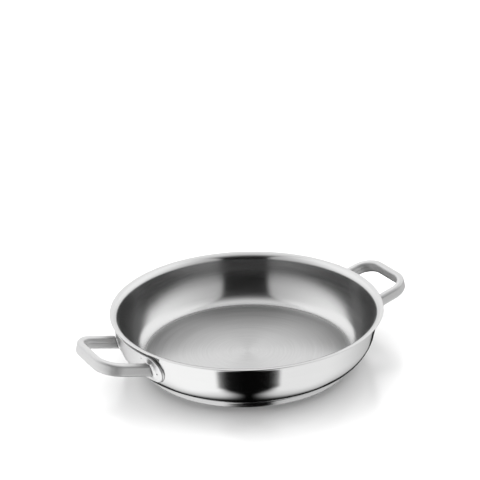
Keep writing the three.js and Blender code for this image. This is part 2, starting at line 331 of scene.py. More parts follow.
# Frame of the right handle: u outward along the tilted loop, v across the arms, w up from the loop
PLATE_MIDDLE = WALL_TOP_Y - RIM_CLEARANCE - PLATE_HEIGHT / 2
ARM_HEIGHT = PLATE_MIDDLE - ARM_DROP
SEAT_X = math.sqrt(float(wall_radius(ARM_HEIGHT, 0.0)) ** 2 - ARM_SIDE**2)
PLATE_FACE = SEAM_GAP + PLATE_SHEET
COLLAR_TOP = PLATE_FACE + COLLAR_NECK


def on_handle(u, v, w):
    """Point of the tilted handle frame: the seat plus u along the rise and w at right angles to it."""
    c, s = math.cos(HANDLE_TILT), math.sin(HANDLE_TILT)
    return np.stack(np.broadcast_arrays(SEAT_X + u * c - w * s, v, ARM_HEIGHT + u * s + w * c), axis=-1)


def reach_wall(v, w, distance):
    """Run u at which the line through (v, w) stands the given distance off the wall, found by halving."""
    near = np.full(np.shape(v), -HANDLE_REACH / 2)
    far = -near
    for _ in range(WALL_HALVINGS):
        middle = (near + far) / 2
        point = on_handle(middle, v, w)
        inside = np.hypot(point[..., 0], point[..., 1]) < wall_radius(point[..., 2], distance)
        near = np.where(inside, middle, near)
        far = np.where(inside, far, middle)
    return near


def on_wall(y, z, distance):
    """Point at (y, z) on the wall moved outward by the distance."""
    return np.stack([np.sqrt(wall_radius(z, distance) ** 2 - y**2), y, z], axis=-1)


def half_outline(width, height, radius, steps):
    """Upper half of a rounded rectangle from its outer flank over the top to its inner flank."""
    x, y = width / 2 - radius, height / 2 - radius
    outer = arc(x, y, radius, 0.0, QUARTER, steps)
    inner = arc(-x, y, radius, QUARTER, math.pi, steps)
    flat = line(outer[-1], inner[0], GRIP_FLAT_STEPS)
    return np.concatenate([outer[:-1], flat, inner])


def flank(x, heights):
    """Points above each other at the given heights."""
    return np.stack([np.full(len(heights), x), heights], axis=1)


def shell_section():
    """Half channel of the grip: outer skin from the ground seam to the open seam, inner skin back.

    The seam on the outer flank is ground flush, and the one on the inner flank keeps a rounded edge.
    """
    rising = np.concatenate([[GROUND_SEAM], FLANK_HEIGHTS])
    falling = FLANK_HEIGHTS[::-1]
    half = GRIP_WIDTH / 2
    skin = half_outline(GRIP_WIDTH, GRIP_HEIGHT, GRIP_ROUND, GRIP_CORNER_STEPS)
    edge_x, edge_y = SEAM_EDGE - half, SEAM_EDGE + GRIP_SEAM
    edge = arc(edge_x, edge_y, SEAM_EDGE, math.pi, 3 * QUARTER, SEAM_EDGE_STEPS)
    outer = np.concatenate([flank(half, rising), skin, flank(-half, falling), edge])
    inside = half - GRIP_SHEET
    width, height = GRIP_WIDTH - 2 * GRIP_SHEET, GRIP_HEIGHT - 2 * GRIP_SHEET
    hollow = half_outline(width, height, GRIP_ROUND - GRIP_SHEET, GRIP_CORNER_STEPS)
    tail = flank(-inside, GRIP_SEAM + np.linspace(SEAM_TAIL, 0.0, len(edge)))
    inner = np.concatenate([flank(inside, rising), hollow, flank(-inside, falling), tail])
    return outer, inner


def grip_shell(name, upper, turn):
    """Half shell of the loop: the half channel carried out along one arm, round two corners and back.

    A point is the path's centre plus the section's width along the path's outward direction and its height
    across the loop's plane. Both ends follow the wall, a hair's gap off the collars.
    """
    outer, inner = shell_section()
    section = np.concatenate([outer, inner[::-1]])
    side = 1.0 if upper else -1.0
    x, y = section[:, 0], side * section[:, 1]
    bend = np.linspace(0.0, QUARTER, BEND_STEPS + 1)
    centre_u = HANDLE_REACH - HANDLE_BEND + HANDLE_BEND * np.sin(bend)
    centre_v = ARM_SIDE - HANDLE_BEND + HANDLE_BEND * np.cos(bend)
    heading = QUARTER - bend
    centre_u = np.concatenate([centre_u, centre_u[::-1]])[:, None]
    centre_v = np.concatenate([centre_v, -centre_v[::-1]])[:, None]
    heading = np.concatenate([heading, -heading[::-1]])[:, None]
    loop_u = centre_u + x * np.cos(heading)
    loop_v = centre_v + x * np.sin(heading)
    end_v = ARM_SIDE + x
    end_u = reach_wall(end_v, y, COLLAR_TOP + GRIP_END_GAP)
    share = np.arange(ARM_STEPS)[:, None] / ARM_STEPS
    arm_u = end_u * (1 - share) + loop_u[0] * share
    arm_v = np.broadcast_to(end_v, arm_u.shape)
    run_u = np.concatenate([arm_u, loop_u, arm_u[::-1]])
    run_v = np.concatenate([arm_v, loop_v, -arm_v[::-1]])
    points = turn_about_z(on_handle(run_u, run_v, y), turn)
    rows, count = run_u.shape
    index = np.arange(rows * count).reshape(rows, count)
    closed = np.concatenate([index, index[:, :1]], axis=1)
    along = run_length(np.stack([run_u.mean(axis=1), run_v.mean(axis=1)], axis=1)) / DECIMETRE
    across = run_length(np.concatenate([section, section[:1]])) / DECIMETRE
    place = np.stack(np.broadcast_arrays(along[:, None], across[None, :]), axis=-1)
    quads, quad_uv = cells(closed, place)
    half = len(outer)
    strip = np.stack([np.arange(half), 2 * half - 1 - np.arange(half)], axis=0)
    start, start_uv = cells(strip, place[0][strip])
    end, end_uv = cells(strip[::-1] + (rows - 1) * count, place[-1][strip[::-1]])
    corners = [np.concatenate([quads, start, end])]
    uv = [np.concatenate([quad_uv, start_uv, end_uv])]
    if not upper:
        corners = [c[:, ::-1] for c in corners]
        uv = [u[:, ::-1] for u in uv]
    return lay_mesh(name, points.reshape(-1, 3), corners, uv)


def turn_about_z(points, turn):
    """Points turned about Z by an angle."""
    c, s = math.cos(turn), math.sin(turn)
    x, y, z = np.moveaxis(points, -1, 0)
    return np.stack([c * x - s * y, s * x + c * y, z], axis=-1)


def section_towards(angle, grow):
    """Point of the arm's rounded section, grown outward, that lies in each direction from its middle."""
    radius = max(GRIP_ROUND + grow, LEAST_ROUND)
    width, height = GRIP_WIDTH + 2 * grow, GRIP_HEIGHT + 2 * grow
    upper = half_outline(width, height, radius, BORE_CORNER_STEPS)
    outline = np.concatenate([upper, -upper])
    bearing = np.unwrap(np.arctan2(outline[:, 1], outline[:, 0]))
    bearing = np.concatenate([bearing, bearing + 2 * math.pi])
    outline = np.concatenate([outline, outline])
    wanted = np.mod(angle - bearing[0], 2 * math.pi) + bearing[0]
    return np.interp(wanted, bearing, outline[:, 0]), np.interp(wanted, bearing, outline[:, 1])


def plate_columns():
    """Places round one half of the plate: its middle line, upper edge, round end and lower edge.

    Each is a point on the plate's middle line and a direction; on the plate's middle itself the direction
    only scales the height, so that both halves meet there.
    """
    straight = ARM_SIDE + PLATE_REACH - PLATE_HEIGHT / 2
    rise = np.linspace(-1.0, 1.0, PLATE_MIDDLE_STEPS, endpoint=False)
    top = np.linspace(0.0, straight, PLATE_SIDE_STEPS, endpoint=False)
    bow = np.linspace(QUARTER, -QUARTER, PLATE_BOW_STEPS, endpoint=False)
    bottom = np.linspace(straight, 0.0, PLATE_SIDE_STEPS, endpoint=False)
    y = np.concatenate([0 * rise, top, np.full(len(bow), straight), bottom])
    out_y = np.concatenate([0 * rise, 0 * top, np.cos(bow), 0 * bottom])
    out_z = np.concatenate([rise, 0 * top + 1, np.sin(bow), 0 * bottom - 1])
    return y, out_y, out_z


def weld_dimple(y, z):
    """Depth of the spot welds at a place on the plate: two round dimples that fall off as a bell."""
    depth = np.zeros(np.shape(y))
    for weld_y, weld_z in WELD_MARKS:
        depth = depth + WELD_DEPTH * np.exp(-((y - weld_y) ** 2 + (z - weld_z) ** 2) / WELD_SIZE**2)
    return depth


def bracket_rings():
    """Closed loops of the bracket's skin round one collar, from the bore outward and round the back.

    The profile is bore, collar's land, quarter-ellipse fillet, plate's face, rounded edge, back. Each of its
    places is carried round the collar, out to the half of the plate that belongs to the collar.
    """
    y, out_y, out_z = plate_columns()
    reach = PLATE_HEIGHT / 2
    angle = np.arctan2(PLATE_MIDDLE + reach * out_z - ARM_HEIGHT, y + reach * out_y - ARM_SIDE)

    def collar_ring(grow, distance):
        """Ring of the arm's section, grown outward, at a distance off the wall."""
        x, w = section_towards(angle, grow)
        v = ARM_SIDE + x
        return on_handle(reach_wall(v, w, distance), v, w)

    def plate_place(span):
        """Places on the plate at a span from its middle line."""
        return y + span * out_y, PLATE_MIDDLE + span * out_z

    bore = collar_ring(-GRIP_SHEET, SEAM_GAP)
    rings = [
        bore,
        collar_ring(-GRIP_SHEET, COLLAR_TOP - BORE_CHAMFER_DEPTH),
        collar_ring(BORE_CHAMFER - GRIP_SHEET, COLLAR_TOP),
        collar_ring(-COLLAR_LAND_INSET, COLLAR_TOP),
    ]
    for turn in np.linspace(FILLET_START, 0.0, FILLET_STEPS + 1):
        grow = COLLAR_FLARE * (1 - math.sin(turn))
        rings.append(collar_ring(grow, PLATE_FACE + COLLAR_NECK * (1 - math.cos(turn))))
    root = rings[-1]
    inset_y, inset_z = plate_place(reach - PLATE_EDGE)
    for share in np.linspace(0.0, 1.0, PLATE_FACE_STEPS + 1)[1:]:
        face_y = root[:, 1] * (1 - share) + inset_y * share
        face_z = root[:, 2] * (1 - share) + inset_z * share
        rings.append(on_wall(face_y, face_z, PLATE_FACE - weld_dimple(face_y, face_z)))
    for turn in np.linspace(0.0, QUARTER, PLATE_EDGE_STEPS + 1)[1:]:
        edge_y, edge_z = plate_place(reach - PLATE_EDGE + PLATE_EDGE * math.sin(turn))
        rings.append(on_wall(edge_y, edge_z, PLATE_FACE - PLATE_EDGE + PLATE_EDGE * math.cos(turn)))
    edge_y, edge_z = plate_place(reach)
    rings.append(on_wall(edge_y, edge_z, SEAM_GAP + PLATE_BACK_EDGE))
    for share in PLATE_BACK_SHARES:
        back_y = edge_y * (1 - share) + bore[:, 1] * share
        back_z = edge_z * (1 - share) + bore[:, 2] * share
        rings.append(on_wall(back_y, back_z, SEAM_GAP))
    return np.stack(rings)


def handle_bracket(name, turn):
    """Plate with two collars as one closed skin.

    The rings of one collar's half are closed both ways and mirrored for the other. The edge that they would
    have on the plate's middle line is left out, so that the halves join there.
    """
    rings = bracket_rings()
    rows, count = rings.shape[:2]
    index = np.arange(rows * count).reshape(rows, count)
    index = np.concatenate([index, index[:1]], axis=0)
    index = np.concatenate([index, index[:, :1]], axis=1)
    looped = np.concatenate([rings, rings[:1]], axis=0)
    looped = np.concatenate([looped, looped[:, :1]], axis=1)
    quads, quad_uv = cells(index, looped[..., 1:] / DECIMETRE)
    row = np.repeat(np.arange(rows), count)
    column = np.tile(np.arange(count), rows)
    edge_end = rows - len(PLATE_BACK_SHARES) - 1
    on_edge = (row >= edge_end - PLATE_EDGE_STEPS - 1) & (row <= edge_end)
    inner_wall = on_edge & (column < PLATE_MIDDLE_STEPS)
    quads, quad_uv = quads[~inner_wall], quad_uv[~inner_wall]
    points = rings.reshape(-1, 3)
    mirrored = points * np.array([1.0, -1.0, 1.0])
    both = turn_about_z(np.concatenate([points, mirrored]), turn)
    corners = np.concatenate([quads, quads[:, ::-1] + len(points)])
    uv = np.concatenate([quad_uv, quad_uv[:, ::-1] * np.array([-1.0, 1.0])])
    piece = lay_mesh(name, both, [corners], [uv])
    join_doubles(piece)
    return piece


def join_doubles(piece):
    """Joins the points that the two halves share and turns every face outward."""
    work = bmesh.new()
    work.from_mesh(piece.data)
    bmesh.ops.remove_doubles(work, verts=work.verts, dist=JOIN_DISTANCE)
    bmesh.ops.recalc_face_normals(work, faces=work.faces)
    work.to_mesh(piece.data)
    work.free()
    piece.data.set_sharp_from_angle(angle=SHARP_EDGE)


# Finishes: a pair is the least and the greatest level of a grain
GRAIN_SPAN = (0.2, 0.8)
WHOLE_SPAN = (0.0, 1.0)
LINE_GRAIN = {"Scale": 1.0, "Detail": 3.0, "Roughness": 0.6}
ROUND_BRUSHING = 0.25

# Pan: rings on the floor, fine lines on the wall, both as counts round the pan and along its profile
PAN_LINES = (2.5, 150.0)
PAN_RINGS = (1.0, 60.0)
PAN_SHADE = (0.53, 0.69)
PAN_WALL_GRAIN = (0.4, 0.6)
PAN_FLOOR_ROUGH = (0.28, 0.34)
PAN_WALL_ROUGH = (0.17, 0.21)
PAN_OUTER_ROUGH = (0.1, 0.13)
PAN_UNDER_ROUGH = 0.4
PAN_ANISOTROPY = 0.85
PAN_LIP_RUN = 0.02
FLOOR_TO_WALL = ((BASE_HEIGHT + BODY_SHEET + 0.1) * MM, (BASE_HEIGHT + BODY_SHEET + 0.9) * MM)
UNDER_TO_OUTER = ((BASE_HEIGHT + 1.0) * MM, (BASE_HEIGHT + 7.0) * MM)

BASE_RINGS = (3.0, 120.0)
# Base grey is painted shade: darker than the steel's own grey, standing in for the shadowed floor that the
# cup's edge reflects
BASE_GRAIN_AND_PAINTED_SHADE = (0.42, 0.5)
BASE_ROUGH = (0.12, 0.24)
BASE_ANISOTROPY = 0.4

BRACKET_GRAIN = {"Scale": 90.0, "Detail": 4.0, "Roughness": 0.55}
BRACKET_GRAIN_SPAN = (0.3, 0.7)
BRACKET_SHADE = (0.66, 0.72)
BRACKET_ROUGH = (0.36, 0.42)
# Painted shade at the spot welds: the plate's grey is darkened round each dimple, in place of the dimple's
# own shading
WELD_PAINTED_SHADE = 0.08
WELD_PAINTED_SHADE_SPAN = (0.4 * WELD_SIZE * MM, 1.3 * WELD_SIZE * MM)
WELD_PAINTED_SHADE_SHARE = (0.85, 0.0)

GRIP_STRETCH = (40.0, 260.0, 1.0)
GRIP_SHADE = (0.58, 0.68)
GRIP_ROUGH = (0.46, 0.56)
GRIP_ANISOTROPY = 0.5

CORE_GRAIN = {"Scale": 1.0, "Detail": 2.0}
CORE_STRETCH = (20.0, 600.0, 20.0)
CORE_SHADE = (0.74, 0.84)
CORE_ROUGH = (0.34, 0.46)


def add_node(tree, kind, values=(), **settings):
    """Adds a node, with its settings and the values of its inputs by name or number."""
    made = tree.nodes.new(kind)
    for key, value in settings.items():
        setattr(made, key, value)
    for key, value in dict(values).items():
        made.inputs[key].default_value = value
    return made


def feed(tree, value, socket):
    """Sets a socket to a number or links another socket to it."""
    if isinstance(value, (int, float)):
        socket.default_value = value
    else:
        tree.links.new(value, socket)


def math_node(tree, operation, *inputs):
    """Adds a Math node fed by sockets or numbers."""
    made = add_node(tree, "ShaderNodeMath", operation=operation)
    for value, socket in zip(inputs, made.inputs):
        feed(tree, value, socket)
    return made.outputs[0]


def chain(tree, operation, first, *others):
    """Takes in values one after the other with the same Math operation."""
    for other in others:
        first = math_node(tree, operation, first, other)
    return first


def ramp(tree, value, span, levels):
    """Smooth step of a value from one level to another over a span."""
    made = add_node(tree, "ShaderNodeMapRange", interpolation_type="SMOOTHSTEP")
    made.inputs["From Min"].default_value, made.inputs["From Max"].default_value = span
    made.inputs["To Min"].default_value, made.inputs["To Max"].default_value = levels
    tree.links.new(value, made.inputs["Value"])
    return made.outputs["Result"]


def blend(tree, first, second, share):
    """Mix of two levels by a share."""
    made = add_node(tree, "ShaderNodeMix", data_type="FLOAT")
    for value, number in ((share, 0), (first, 2), (second, 3)):
        feed(tree, value, made.inputs[number])
    return made.outputs[0]


def part_of(tree, vector, axis):
    """One coordinate of a vector."""
    parts = add_node(tree, "ShaderNodeSeparateXYZ")
    tree.links.new(vector, parts.inputs[0])
    return parts.outputs[axis]


def map_place(tree):
    """Place on the piece's own map."""
    return add_node(tree, "ShaderNodeUVMap", uv_map="finish").outputs["UV"]


def object_place(tree):
    """Place in the part's frame."""
    return add_node(tree, "ShaderNodeTexCoord").outputs["Object"]


def stretched(tree, place, scale):
    """Place with each of its coordinates scaled."""
    mapping = add_node(tree, "ShaderNodeMapping", {"Scale": scale})
    tree.links.new(place, mapping.inputs["Vector"])
    return mapping.outputs["Vector"]


def grain(tree, place, values):
    """Noise at a place, from nought to one."""
    noise = add_node(tree, "ShaderNodeTexNoise", values)
    tree.links.new(place, noise.inputs["Vector"])
    return noise.outputs["Fac"]


def round_grain(tree, counts):
    """Noise drawn out round the pan: it changes slowly with the turn and fast along the profile."""
    around, along = counts
    uv = map_place(tree)
    angle = math_node(tree, "MULTIPLY", part_of(tree, uv, "X"), 2 * math.pi)
    place = add_node(tree, "ShaderNodeCombineXYZ")
    for axis, wave in (("X", "COSINE"), ("Y", "SINE")):
        turned = math_node(tree, "MULTIPLY", math_node(tree, wave, angle), around)
        tree.links.new(turned, place.inputs[axis])
    climb = math_node(tree, "MULTIPLY", part_of(tree, uv, "Y"), along)
    tree.links.new(climb, place.inputs["Z"])
    return grain(tree, place.outputs[0], LINE_GRAIN)


def metal(name, anisotropy):
    """New metal; its shade and roughness are linked by the finish that it is for."""
    finish = bpy.data.materials.new(name)
    finish.use_nodes = True
    shader = finish.node_tree.nodes["Principled BSDF"]
    shader.inputs["Metallic"].default_value = 1.0
    shader.inputs["Anisotropic"].default_value = anisotropy
    return finish, finish.node_tree, shader


def brush_along_map(tree, shader, turn):
    """Lays the brushing along the piece's own map, turned by a share of a full turn."""
    tangent = add_node(tree, "ShaderNodeTangent", direction_type="UV_MAP", uv_map="finish")
    tree.links.new(tangent.outputs["Tangent"], shader.inputs["Tangent"])
    shader.inputs["Anisotropic Rotation"].default_value = turn


def shade_by(tree, shader, value, shades):
    """Grey that runs from one shade to another with a value."""
    mix = add_node(tree, "ShaderNodeMix", data_type="RGBA")
    for shade, number in zip(shades, (6, 7)):
        mix.inputs[number].default_value = (shade, shade, shade, 1.0)
    tree.links.new(value, mix.inputs["Factor"])
    tree.links.new(mix.outputs[2], shader.inputs["Base Color"])


def rough_by(tree, shader, value, span, levels):
    """Roughness that runs from one level to another with a value."""
    tree.links.new(ramp(tree, value, span, levels), shader.inputs["Roughness"])


def brushed_pan_steel(lip):
    """Drawn steel brushed round the pan: brightest outside, up to the lip, dullest on the floor."""
    finish, tree, shader = metal("brushed_pan_steel", PAN_ANISOTROPY)
    brush_along_map(tree, shader, ROUND_BRUSHING)
    lines = round_grain(tree, PAN_LINES)
    rings = round_grain(tree, PAN_RINGS)
    height = part_of(tree, object_place(tree), "Z")
    above_floor = ramp(tree, height, FLOOR_TO_WALL, (0.0, 1.0))
    wall_grain = ramp(tree, lines, WHOLE_SPAN, PAN_WALL_GRAIN)
    shade_by(tree, shader, blend(tree, rings, wall_grain, above_floor), PAN_SHADE)
    floor_rough = ramp(tree, rings, GRAIN_SPAN, PAN_FLOOR_ROUGH)
    wall_rough = ramp(tree, lines, GRAIN_SPAN, PAN_WALL_ROUGH)
    inner_rough = blend(tree, floor_rough, wall_rough, above_floor)
    outer_rough = ramp(tree, lines, GRAIN_SPAN, PAN_OUTER_ROUGH)
    under = ramp(tree, height, UNDER_TO_OUTER, (1.0, 0.0))
    outer_rough = blend(tree, outer_rough, PAN_UNDER_ROUGH, under)
    along = part_of(tree, map_place(tree), "Y")
    inside = ramp(tree, along, (lip, lip + PAN_LIP_RUN), (0.0, 1.0))
    tree.links.new(blend(tree, outer_rough, inner_rough, inside), shader.inputs["Roughness"])
    return finish


def turned_base_steel():
    """Cup of the base: glossy, with turned rings underneath, its grey darkened all over as painted shade for
    the shadowed floor that its edge reflects.
    """
    finish, tree, shader = metal("turned_base_steel", BASE_ANISOTROPY)
    brush_along_map(tree, shader, ROUND_BRUSHING)
    rings = round_grain(tree, BASE_RINGS)
    # Painted shade: the rings vary the grey, and the whole span is kept dark for the shadowed floor the cup
    # reflects
    shade_by(tree, shader, rings, BASE_GRAIN_AND_PAINTED_SHADE)
    rough_by(tree, shader, rings, GRAIN_SPAN, BASE_ROUGH)
    return finish


def polished_bracket_steel():
    """Polished steel with a faint grain left by the wheel and painted shade darkening each spot weld's
    dimple.
    """
    finish, tree, shader = metal("polished_bracket_steel", 0.0)
    place = object_place(tree)
    noise = grain(tree, place, BRACKET_GRAIN)
    quarter = add_node(tree, "ShaderNodeVectorMath", operation="ABSOLUTE")
    tree.links.new(place, quarter.inputs[0])
    shade = ramp(tree, noise, WHOLE_SPAN, BRACKET_SHADE)
    for weld_y, weld_z in WELD_MARKS:
        away = add_node(tree, "ShaderNodeVectorMath", operation="DISTANCE")
        tree.links.new(quarter.outputs[0], away.inputs[0])
        away.inputs[1].default_value = tuple(on_wall(weld_y, weld_z, PLATE_FACE - WELD_DEPTH) * MM)
        # Painted shade: the grey falls to near black round each weld's dimple
        weld_painted_shade = ramp(tree, away.outputs["Value"], WELD_PAINTED_SHADE_SPAN, WELD_PAINTED_SHADE_SHARE)
        shade = blend(tree, shade, WELD_PAINTED_SHADE, weld_painted_shade)
    tree.links.new(shade, shader.inputs["Base Color"])
    rough_by(tree, shader, noise, BRACKET_GRAIN_SPAN, BRACKET_ROUGH)
    return finish


def satin_grip_steel():
    """Satin steel, ground along the grip in short fine lines."""
    finish, tree, shader = metal("satin_grip_steel", GRIP_ANISOTROPY)
    brush_along_map(tree, shader, 0.0)
    noise = grain(tree, stretched(tree, map_place(tree), GRIP_STRETCH), LINE_GRAIN)
    shade_by(tree, shader, noise, GRIP_SHADE)
    rough_by(tree, shader, noise, GRAIN_SPAN, GRIP_ROUGH)
    return finish


def rolled_aluminium():
    """Plain rolled aluminium of the core, streaked along the rolling direction."""
    finish, tree, shader = metal("rolled_aluminium", 0.0)
    noise = grain(tree, stretched(tree, object_place(tree), CORE_STRETCH), CORE_GRAIN)
    shade_by(tree, shader, noise, CORE_SHADE)
    rough_by(tree, shader, noise, GRAIN_SPAN, CORE_ROUGH)
    return finish


# Camera, as the photograph was taken; its clip distances are metres
CAMERA_AT = np.array([-728.9, -1282.19, 768.71])
CAMERA_AIM = np.array([-4.2, 2.37, 137.36])
CAMERA_ROLL = math.radians(-1.6325)
CAMERA_LENS = 114.0
SENSOR_WIDTH = 36.0
NEAR_CLIP = 0.05
FAR_CLIP = 50.0


def unit(vector):
    """Vector of length one."""
    return vector / np.linalg.norm(vector)


def place_camera():
    """Camera whose axes are the view direction's own right and up, rolled about the view."""
    data = bpy.data.cameras.new("camera")
    data.lens = CAMERA_LENS
    data.sensor_width = SENSOR_WIDTH
    data.clip_start = NEAR_CLIP
    data.clip_end = FAR_CLIP
    camera = bpy.data.objects.new("camera", data)
    bpy.context.scene.collection.objects.link(camera)
    forward = unit(CAMERA_AIM - CAMERA_AT)
    right = unit(np.cross(forward, [0.0, 0.0, 1.0]))
    up = np.cross(right, forward)
    c, s = math.cos(CAMERA_ROLL), math.sin(CAMERA_ROLL)
    rows = np.eye(4)
    rows[:3, 0] = c * right + s * up
    rows[:3, 1] = c * up - s * right
    rows[:3, 2] = -forward
    rows[:3, 3] = CAMERA_AT * MM
    camera.matrix_world = Matrix(rows.tolist())
    bpy.context.scene.camera = camera


# Pieces


def settle(piece, finish, node):
    """Gives a piece its finish and lets it stand for a node of the frame."""
    piece.data.materials.append(finish)
    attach(piece, "root")
    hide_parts(node)


pan_outline = pan_profile()
lip_run = run_length(pan_outline)[np.argmax(pan_outline[:, 0])] / DECIMETRE
pan_steel = brushed_pan_steel(float(lip_run))
base_steel = turned_base_steel()
bracket_steel = polished_bracket_steel()
grip_steel = satin_grip_steel()

settle(turned_piece("pan_shell", pan_outline), pan_steel, "pan_body")
settle(turned_piece("base_cup", cup_profile()), base_steel, "base_cap")
for side, turn in (("right", 0.0), ("left", math.pi)):
    bracket = handle_bracket(f"{side}_bracket", turn)
    settle(bracket, bracket_steel, f"{side}_handle_bracket")
    for half, upper in (("upper", True), ("lower", False)):
        shell = grip_shell(f"{side}_{half}_grip", upper, turn)
        settle(shell, grip_steel, f"{side}_handle_{half}_shell")

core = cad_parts["base_core"]
core.data.materials.clear()
core.data.materials.append(rolled_aluminium())

# Floor, and a black card on it that is a painted shadow for mirror-like rays
FLOOR_SPAN = (-8000.0, 8000.0)
FLOOR_DEPTH = 0.05
FLOOR_GRAIN = {"Scale": 3.0}
FLOOR_SHADE = (0.945, 0.955)
FLOOR_ROUGH = 0.19
FLOOR_SHINE = 1.0
CARD_X = (135.0, 235.0)
CARD_Y = (-5.0, 160.0)
CARD_DEPTH = 0.03
CARD_PAINTED_SHADOW = 0.02
CARD_ROUGH = 0.9


def level_sheet(name, finish_name, x, y, depth):
    """Level rectangle between two x and two y, at a depth below the base, with a new finish."""
    corner = np.array([[x[0], y[0]], [x[1], y[0]], [x[1], y[1]], [x[0], y[1]]])
    points = np.concatenate([corner, np.full((4, 1), -depth)], axis=1)
    sheet = lay_mesh(name, points, [np.array([[0, 1, 2, 3]])], [corner.reshape(1, 4, 2) / METRE])
    finish = bpy.data.materials.new(finish_name)
    finish.use_nodes = True
    sheet.data.materials.append(finish)
    return sheet, finish.node_tree, finish.node_tree.nodes["Principled BSDF"]


def pale_floor():
    """Plain white floor; the metal sees the studio below it instead, as on a raised table."""
    floor, tree, shader = level_sheet("floor", "pale_floor", FLOOR_SPAN, FLOOR_SPAN, FLOOR_DEPTH)
    shader.inputs["Roughness"].default_value = FLOOR_ROUGH
    shader.inputs["Specular IOR Level"].default_value = FLOOR_SHINE
    shade_by(tree, shader, grain(tree, object_place(tree), FLOOR_GRAIN), FLOOR_SHADE)
    floor.visible_glossy = False


def painted_shadow_card():
    """Black card on the floor behind the right handle, which only mirror-like rays see: a painted shadow
    that the handle's inner face reflects in place of shaded floor.
    """
    card, _, shader = level_sheet("painted_shadow_card", "painted_shadow_black", CARD_X, CARD_Y, CARD_DEPTH)
    # Painted shadow: the card's near-black grey stands in for shade on the floor
    shader.inputs["Base Color"].default_value = (CARD_PAINTED_SHADOW, CARD_PAINTED_SHADOW, CARD_PAINTED_SHADOW, 1.0)
    shader.inputs["Roughness"].default_value = CARD_ROUGH
    card.visible_camera = card.visible_diffuse = card.visible_shadow = False


# Studio: a ramp is a span of a measure and the levels at its two ends
# Elevation and azimuth are degrees, and azimuth runs from the camera's side at nought round to the back
# Leftward, sideways and front are the parts of a direction that point left, to either side and to the camera
TOWARDS = unit((CAMERA_AT - CAMERA_AIM) * np.array([1.0, 1.0, 0.0]))
LEFTWARD = np.array([TOWARDS[1], -TOWARDS[0], 0.0])
UPWARD = np.array([0.0, 0.0, 1.0])
BACKDROP_LEVEL = 1.06
HORIZON = (0.5, -0.5), (0.0, 1.0)

# Upper half, by elevation, azimuth and leftward; its gap, by sideways, elevation and front
HORIZON_LEVEL = 0.06
CROWN_LEVEL = 0.95
CLIMB = (4.0, 22.0), (0.0, 1.0)
SIDELONG = (78.0, 105.0), (0.0, 0.85)
LEFT_RISE = (0.2, 0.5), (0.0, 0.8)
RIGHT_RISE = (-0.2, -0.5), (0.0, 0.65)
SWING = (10.0, 120.0), (0.6, 1.34)
BACK_DIP = (140.0, 168.0), (1.0, 0.88)
CROWN = (60.0, 90.0), (0.0, 1.0)
UPPER_EDGE = (0.31, 0.38), (0.0, 1.0)
UPPER_EDGE_AGAIN = -0.28
UPPER_FADE = (36.0, 88.0), (0.02, 1.0)
UPPER_FADE_AGAIN = -24.0
STRAIGHT_BACK = (0.2, 0.45), (1.0, 0.0)
BEHIND = (-0.4, -0.2), (1.0, 0.0)

# Lower half, by elevation, azimuth and leftward; its gap, by leftward and elevation
SINK = (-4.0, -35.0), (0.13, 1.0)
LEFT_FILL = (0.0, 0.25), (0.0, 1.0)
LEFT_FILL_TOP = (-1.0, -8.0), (0.4, 1.15)
LEFT_FILL_FOOT = (-19.0, -27.0), (1.0, 0.78)
WANE = (80.0, 175.0), (1.42, 0.6)
LEAN = (-0.5, 0.5), (0.88, 1.04)
NADIR_DIP = (-60.0, -84.0), (1.0, 0.62)
GAP_WIDTH = (-50.0, -56.0), (0.355, 0.268)
GAP_TAPER = (-56.0, -80.0), (0.0, 0.14)
GAP_SHIFT = (-33.0, -18.0), (0.0, 0.24)
GAP_BLUR = (-50.0, -66.0), (0.5, 1.9)
LOWER_EDGE = (-0.06, 0.05), (0.002, 1.0)

# Bounces: second by ray depth, what it keeps by leftward and elevation, third, and light thrown on the floor
SECOND_BOUNCE = (2.0, 3.0), (0.0, 1.0)
KEPT = (-0.4, 0.4), (0.145, 0.2)
KEPT_HIGH = (46.0, 54.0), (1.0, 2.2)
LOSS_RISE = (4.0, 16.0), (0.0, 1.0)
THIRD_BOUNCE = (3.0, 4.0), (1.0, 0.5)
THROWN_LIGHT = (0.0, 1.0), (1.0, 0.4)

# Soft light on the floor
SIDE_LIGHT = (-0.1, 0.6), (2.5, 3.2)
EVEN_LIGHT = 0.06
BACK_LIGHT = 2.5
BACK_LIGHT_RISE = math.radians(42.0)
BACK_LIGHT_FROM = math.sin(BACK_LIGHT_RISE) * UPWARD - math.cos(BACK_LIGHT_RISE) * TOWARDS
LIGHT_SPREAD = 2.0


class Ray:
    """A ray that leaves the scene: its direction about the camera's side and the bounces behind it."""

    def __init__(self, tree):
        """Adds the nodes that measure the ray."""
        self.direction = add_node(tree, "ShaderNodeTexCoord").outputs["Generated"]
        self.path = add_node(tree, "ShaderNodeLightPath").outputs
        self.front = self.part_along(tree, TOWARDS)
        self.leftward = self.part_along(tree, LEFTWARD)
        self.sideways = math_node(tree, "ABSOLUTE", self.leftward)
        azimuth = math_node(tree, "ARCTAN2", self.sideways, self.front)
        self.azimuth = math_node(tree, "DEGREES", azimuth)
        elevation = math_node(tree, "ARCSINE", self.part_along(tree, UPWARD))
        self.elevation = math_node(tree, "DEGREES", elevation)
        self.again = ramp(tree, self.path["Ray Depth"], *SECOND_BOUNCE)

    def part_along(self, tree, direction):
        """Part of the ray's direction that points along another."""
        dot = add_node(tree, "ShaderNodeVectorMath", operation="DOT_PRODUCT")
        tree.links.new(self.direction, dot.inputs[0])
        dot.inputs[1].default_value = tuple(direction)
        return dot.outputs["Value"]


